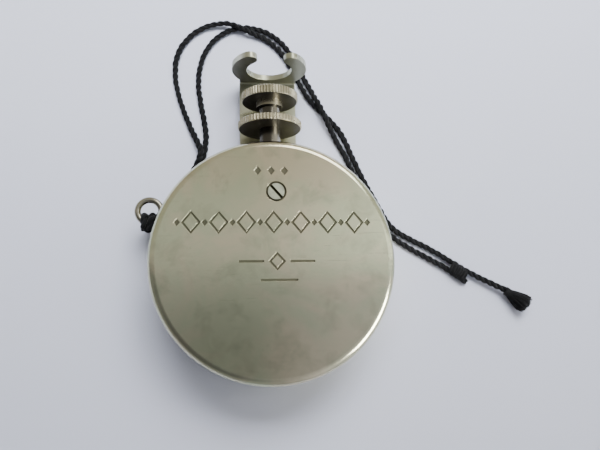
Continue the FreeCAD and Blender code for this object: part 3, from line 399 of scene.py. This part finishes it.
STRAND_B = [
    (-22.0, 6.6, 3.0), (-21.2, 8.0, 2.1), (-19.4, 9.6, 1.45), (-17.1, 12.9, 1.4), (-14.9, 15.7, 1.45),
    (-13.2, 18.5, 1.6), (-12.0, 21.6, 1.55), (-13.6, 24.8, 0.7), (-16.0, 30.6, 0.495),
    (-17.4, 36.2, 0.495), (-17.0, 41.7, 0.495), (-13.3, 46.3, 0.495), (-8.4, 47.8, 0.95),
    (-5.5, 46.7, 1.7), (-2.9, 45.7, 1.0), (0.5, 44.4, 0.495), (3.5, 41.3, 0.495), (5.7, 36.6, 0.495),
    (8.2, 31.9, 0.495), (11.5, 28.9, 0.495), (14.2, 25.6, 0.495), (15.8, 21.4, 0.495),
    (17.9, 16.6, 0.495), (20.3, 11.9, 0.495), (22.4, 7.7, 0.495), (25.3, 5.7, 0.495), (30.3, 3.3, 0.5),
    (35.4, -0.1, 0.9), (39.6, -2.5, 1.1), (44.0, -4.6, 1.4),
]


def smooth_line(route, scale=MM, fine=24):
    """Points along the NURBS curve that has the route as its control points."""
    data = bpy.data.curves.new("route", "CURVE")
    data.dimensions = "3D"
    data.resolution_u = fine
    spline = data.splines.new("NURBS")
    spline.points.add(len(route) - 1)
    for point, place in zip(spline.points, route):
        point.co = (*(scale * c for c in place), 1)
    spline.order_u = 3
    spline.use_endpoint_u = True
    holder = bpy.data.objects.new("route", data)
    mesh = bpy.data.meshes.new_from_object(holder)
    line = [v.co.copy() for v in mesh.vertices]
    bpy.data.meshes.remove(mesh)
    bpy.data.objects.remove(holder)
    bpy.data.curves.remove(data)
    return line


def length_of(line):
    return sum((b - a).length for a, b in zip(line, line[1:]))


def evenly(line, step):
    """The line again, with points about one step apart."""
    out, left = [line[0].copy()], step
    for a, b in zip(line, line[1:]):
        gone, length = 0.0, (b - a).length
        while length - gone >= left:
            gone += left
            left = step
            out.append(a.lerp(b, gone / length))
        left -= length - gone
    if (out[-1] - line[-1]).length > 0.2 * step:
        out.append(line[-1].copy())
    return out


def frames(line):
    """Two directions across the line at each point, carried along without twist."""
    across = Vector((0, 0, 1))
    out = []
    for i, point in enumerate(line):
        along = (line[min(i + 1, len(line) - 1)] - line[max(i - 1, 0)]).normalized()
        across = (across - along * across.dot(along)).normalized()
        out.append((point, across, along.cross(across)))
    return out


class MeshParts:
    """Collects vertices and faces of tubes for one mesh."""

    def __init__(self):
        self.points, self.faces = [], []

    def tube(self, line, radius, sides=8, close=True):
        """A tube along a line. radius is a number or a function of the share of the length."""
        first = len(self.points)
        count = len(line)
        for i, (point, u, v) in enumerate(frames(line)):
            r = radius(i / max(count - 1, 1)) if callable(radius) else radius
            for k in range(sides):
                turn = 2 * math.pi * k / sides
                self.points.append(point + u * (r * math.cos(turn)) + v * (r * math.sin(turn)))
        for i in range(count - 1):
            for k in range(sides):
                a, b = first + i * sides + k, first + i * sides + (k + 1) % sides
                self.faces.append((a, b, b + sides, a + sides))
        if close:
            self.faces.append(tuple(first + k for k in reversed(range(sides))))
            self.faces.append(tuple(first + (count - 1) * sides + k for k in range(sides)))

    def object(self, name):
        mesh = bpy.data.meshes.new(name)
        mesh.from_pydata(self.points, [], self.faces)
        mesh.validate()
        mesh.polygons.foreach_set("use_smooth", [True] * len(mesh.polygons))
        return link(name, mesh)


def plies(parts, line, rng, turn=0.0, width=1.0):
    """Two yarns laid round each other along the line, slightly uneven."""
    step = length_of(line) / (len(line) - 1)
    phases = [rng.uniform(0, 6.28) for _ in range(4)]
    for side in (0, math.pi):
        yarn = []
        for i, (point, u, v) in enumerate(frames(line)):
            travelled = i * step
            wander = 0.5 * math.sin(travelled / (7.1 * MM) + phases[0])
            angle = turn + side + 2 * math.pi * travelled / TWIST_PITCH + wander
            reach = width * PLY_OFFSET * (1 + 0.12 * math.sin(travelled / (3.3 * MM) + phases[1]))
            yarn.append(point + u * (reach * math.cos(angle)) + v * (reach * math.sin(angle)))
        start = phases[2] + side

        def radius(share):
            return width * PLY_RADIUS * (1 + 0.07 * math.sin(90 * share + start)
                                         + 0.05 * math.sin(37 * share + 2 * start))

        parts.tube(yarn, radius, sides=YARN_SIDES)


def fuzz(parts, line, rng, per_mm, reach):
    """Loose fibre ends that stand off the yarn, above the table and below the fork."""
    spots = frames(line)
    for _ in range(int(per_mm * length_of(line) / MM)):
        point, u, v = spots[rng.randrange(1, len(spots) - 1)]
        angle = rng.uniform(0, 2 * math.pi)
        out = u * math.cos(angle) + v * math.sin(angle)
        along = u.cross(v) * rng.choice((-1, 1))
        start = point + out * (0.36 * MM)
        size = rng.uniform(0.4, 1.0) * reach
        bend = start + out * (0.35 * size) + along * (0.5 * size)
        tip = start + out * (rng.uniform(0.25, 0.8) * size) + along * size
        for p in (start, bend, tip):
            p.z = max(p.z, 0.03 * MM)
            if abs(p.x) < FORK_PATH[0] and FORK_PATH[1] < p.y < FORK_PATH[2]:
                p.z = min(p.z, UNDER_FORK)
        parts.tube([start, bend, tip], lambda share: (0.018 - 0.012 * share) * MM, sides=3)


def settled(z):
    """Height of a yarn point where the cord's own weight presses it flat, unchanged well above the table."""
    low = min(max((2.0 * MM - z) / (0.8 * MM), 0), 1)
    return CORD / 2 + (z - CORD / 2) * (1 - (1 - FLATTENED) * low)


def cord_strand(name, node_name, route, seed):
    """One strand of the doubled cord, from the hitch to its end."""
    line = evenly(smooth_line(route), 0.16 * MM)
    parts = MeshParts()
    rng = random.Random(SEED + seed)
    plies(parts, line, rng)
    for point in parts.points:
        point.z = settled(point.z)
    fuzz(parts, line, rng, 1.6, 0.6 * MM)
    piece = parts.object(name)
    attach(piece, "case")
    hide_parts(node_name)
    return piece


HITCH_TURN = -95.0
EYE_RADIUS, EYE_WIRE = 1.97 * MM, 0.53 * MM
# One side of the hitch on the eye's wire: outwards from the wire, along it, and up.
HITCH_HALF = [
    (0.5, -0.35, -3.0), (0.35, -0.42, -2.0), (-0.2, -0.52, -1.25), (-1.05, -0.58, -0.5), (-1.2, -0.62, 0.35),
    (-0.6, -0.62, 1.1), (0.25, -0.6, 1.2), (0.9, -0.5, 0.7), (1.1, -0.25, -0.1),
]


def hitch():
    """Lark's head knot round the eye's wire."""
    low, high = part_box("lanyard_eye")
    turn = math.radians(HITCH_TURN)
    outwards = Vector((math.cos(turn), math.sin(turn), 0))
    sideways = Vector((-outwards.y, outwards.x, 0))
    reach = EYE_RADIUS + EYE_WIRE
    centre = Vector((low[0] + reach, high[1] - reach, (low[2] + high[2]) / 2))
    middle = centre + outwards * EYE_RADIUS
    route = HITCH_HALF + [(r, -t, z) for r, t, z in reversed(HITCH_HALF)]
    placed = [middle + (outwards * r + sideways * t + Vector((0, 0, z))) * MM for r, t, z in route]
    line = evenly(smooth_line(placed, 1.0), 0.12 * MM)
    parts = MeshParts()
    rng = random.Random(SEED + 11)
    plies(parts, line, rng, width=1.12)
    fuzz(parts, line, rng, 3, 0.5 * MM)
    piece = parts.object("cord_hitch_knot")
    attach(piece, "case")
    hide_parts("cord_hitch")
    return piece


def whipping():
    """Thread wound unevenly round both strands just before the shorter one ends."""
    start, end = (Vector(place) * MM for place in WHIPPING_ENDS)
    along = (end - start).normalized()
    across = Vector((0, 0, 1)).cross(along)
    steps = 22
    rng = random.Random(SEED + 21)
    parts = MeshParts()
    for turns, width, thick in ((9, 1.08, 0.19), (6, 1.2, 0.15)):
        line, lean = [], rng.uniform(-0.1, 0.1)
        for i in range(turns * steps):
            angle = 2 * math.pi * i / steps
            share = i / (turns * steps)
            swell = 1 + 0.06 * math.sin(9.1 * share * turns) - 0.16 * share ** 4
            place = start.lerp(end, share + lean * math.sin(angle))
            line.append(place + across * (width * swell * math.cos(angle) * MM)
                        + Vector((0, 0, 0.68 * width * swell * math.sin(angle) * MM)))
        parts.tube(line, thick * MM, sides=7)
        fuzz(parts, line, rng, 1.2, 0.5 * MM)
    piece = parts.object("cord_whipping_thread")
    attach(piece, "case")
    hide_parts("cord_whipping")
    return piece


def tassel():
    """The strand's end frayed into a round brush of fibres, bound at its root."""
    rng = random.Random(SEED + 31)
    root, tip = Vector(TASSEL_ROOT) * MM, Vector(TASSEL_TIP) * MM
    along = (tip - root).normalized()
    side = Vector((0, 0, 1)).cross(along)
    parts = MeshParts()
    knot = []
    for i in range(75):
        angle = 2 * math.pi * i / 25
        knot.append(root + along * (0.012 * i - 0.3) * MM + side * (0.62 * MM * math.cos(angle))
                    + Vector((0, 0, 0.6 * MM * math.sin(angle))))
    parts.tube(knot, 0.2 * MM, sides=8)
    for _ in range(TASSEL_FIBRES):
        turn, reach = rng.uniform(0, 2 * math.pi), math.sqrt(rng.uniform(0, 1))
        out = side * math.cos(turn) + Vector((0, 0, math.sin(turn)))
        length = rng.uniform(0.8, 1.0) * (tip - root).length * (1 - 0.12 * reach)
        start = root + out * (0.55 * reach * MM)
        end = root + along * length + out * (1.7 * reach * rng.uniform(0.9, 1.08) * MM)
        half = start.lerp(end, 0.5) + out * (0.12 * MM) + side * (rng.uniform(-0.12, 0.12) * MM)
        for place in (start, half, end):
            place.z = max(place.z, 0.1 * MM)
        fibre = evenly(smooth_line([start, half, end], 1.0, 6), 0.6 * MM)
        parts.tube(fibre, rng.uniform(0.05, 0.09) * MM, sides=4)
    piece = parts.object("cord_tassel_fibres")
    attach(piece, "case")
    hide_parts("cord_tassel")
    return piece


def make_cords(made):
    """The cord's pieces, in the black thread."""
    knot, thread, frayed = hitch(), whipping(), tassel()
    pieces = [knot, thread, frayed]
    pieces.append(cord_strand("cord_strand_short", "cord_strand_a", STRAND_A, 1))
    pieces.append(cord_strand("cord_strand_long", "cord_strand_b", STRAND_B, 2))
    for piece in pieces:
        piece.data.materials.append(made["cord_black"])


# ---------------------------------------------------------------- stage


def floor():
    """The table top."""
    size = 1.2
    mesh = bpy.data.meshes.new("floor")
    corners = [(-size, -size, 0), (size, -size, 0), (size, size, 0), (-size, size, 0)]
    mesh.from_pydata(corners, [], [(0, 1, 2, 3)])
    obj = link("floor", mesh)
    obj.data.materials.append(table_top("table"))


def area_light(name, place, target, size, power, colour=(1, 1, 1), diffuse=True, glossy=True, spread=180):
    data = bpy.data.lights.new(name, "AREA")
    data.shape = "RECTANGLE"
    data.size, data.size_y = size
    data.energy = power
    data.color = colour
    data.spread = math.radians(spread)
    obj = bpy.data.objects.new(name, data)
    bpy.context.scene.collection.objects.link(obj)
    place, target = Vector(place), Vector(target)
    turn = (place - target).to_track_quat("Z", "Y").to_matrix().to_4x4()
    obj.matrix_world = Matrix.Translation(place) @ turn
    obj.visible_diffuse, obj.visible_glossy = diffuse, glossy


def world():
    """A pale room, lighter to the right, and dim overhead where someone leans over the table."""
    n = Nodes("studio", bpy.data.worlds, "Background")
    way = n.coordinates["Generated"]
    across = n.towards((1.0, 0.0, 0.0), way)
    ahead = n.towards((0.0, 1.0, 0.0), way)
    right = n.ramp(across, (0.05, 0.0), (0.5, 1.0))
    left = n.ramp(n.maths("MULTIPLY", across, -1.0), (0.14, 0.0), (0.5, 1.0))
    corner = n.ramp(n.towards((-0.5, -0.52, 0.78), way), (0.80, 0.0), (0.97, 0.9))
    light = n.mix(right, (0.78, 0.785, 0.775), (2.35, 2.36, 2.39))
    light = n.mix(left, light, (0.62, 0.61, 0.58))
    light = n.mix(n.ramp(ahead, (0.24, 0.0), (0.34, 0.85)), light, (0.58, 0.55, 0.48))
    light = n.mix(corner, light, (0.22, 0.22, 0.22))
    near = n.ramp(ahead, (0.105, 1.0), (0.13, 0.0))
    light = n.mix(1.0, light, n.mix(near, (1.0, 1.0, 1.0), (0.495, 0.505, 0.56)), "MULTIPLY")
    near_right = n.maths("MULTIPLY", near, n.ramp(across, (0.02, 0.0), (0.14, 0.38)))
    light = n.mix(near_right, light, (0.25, 0.25, 0.255))
    overhead = n.ramp(n.towards((-0.04, -0.07, 1.0), way), (0.984, 0.0), (0.998, 0.55))
    n.wire(n.mix(overhead, light, (0.10, 0.10, 0.09)), n.shader.inputs["Color"])
    n.shader.inputs["Strength"].default_value = 1.0
    bpy.context.scene.world = n.material


def light_scene():
    """A soft window behind the object, a lamp to its right and a soft light over the table."""
    world()
    area_light("window", (0.22, 0.45, 0.50), (0, 0.02, 0), (0.30, 0.30), 1.9, (0.98, 0.99, 1.0))
    area_light("lamp", (0.49, -0.22, 0.31), (0, 0, 0), (0.30, 0.26), 8.6, (1.0, 0.99, 0.95), diffuse=False)
    area_light("upper", (0.02, 0.20, 0.26), (0.01, 0.12, 0), (0.26, 0.18), 0.66, (0.95, 0.97, 1.0),
               glossy=False, spread=75)


make_camera()
materials = dress_nodes()
make_cords(materials)
floor()
light_scene()
